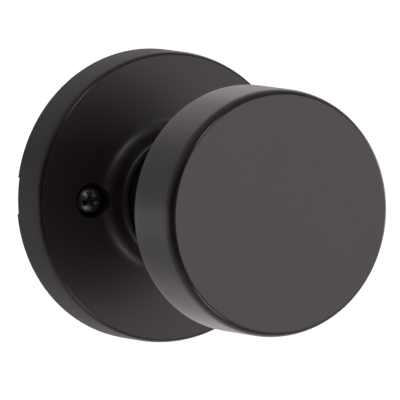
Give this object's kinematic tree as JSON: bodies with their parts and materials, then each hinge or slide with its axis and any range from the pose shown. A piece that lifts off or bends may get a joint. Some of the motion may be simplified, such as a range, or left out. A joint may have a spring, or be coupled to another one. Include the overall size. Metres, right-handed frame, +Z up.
{
  "type": "door knob",
  "caption": "Satin black passage door knob half: flat-faced cylindrical knob on a round rose with exposed through-bolt screws, sprung to return to rest.",
  "frame": {"origin": "centre of the rose's rear face, on the door's surface and on the knob's turning axis", "axes": "+Z up, the knob stands out from the door along -Y, +X to the right seen from the room"},
  "size_m": [0.066, 0.081, 0.066],
  "materials": {
    "black_coat": "satin black coat on drawn steel, fine texture",
    "black_screw": "satin black coated steel, slightly glossier",
    "black_casting": "satin black coat on a zinc casting, a little more matt",
    "zinc_steel": "zinc-plated pressed steel",
    "bearing_bronze": "plain sintered bronze",
    "bright_steel": "bright turned steel",
    "bush_plastic": "black acetal, matte",
    "spring_steel": "dark oiled spring steel",
    "socket_casting": "grey zinc die casting"
  },
  "bodies": {
    "rose_assembly": {"rose": "black_casting", "mounting_plate": "zinc_steel", "plate_bearing": "bearing_bronze", "spring_housing": "zinc_steel", "housing_rivets": "bright_steel", "stop_pins": "bright_steel", "neck_bush": "bush_plastic", "mounting_screws": "black_screw", "return_spring": "spring_steel"},
    "knob": {"knob_shell": "black_coat", "knob_core": "black_casting", "core_washer": "zinc_steel", "core_ring": "spring_steel", "drive_sleeve": "bright_steel", "spindle_socket": "socket_casting", "socket_pin": "bright_steel", "cam_plate": "zinc_steel", "wave_washer": "spring_steel", "thrust_washer": "zinc_steel", "retaining_ring": "spring_steel"}
  },
  "joints": [
    {"name": "knob_turn", "type": "hinge", "parent": "rose_assembly", "child": "knob", "pos_m": [0, 0, 0], "axis": [0, 1, 0], "range_deg": [-60, 60], "stiffness_Nm_per_rad": 0.2, "deforming": ["return_spring"]}
  ]
}
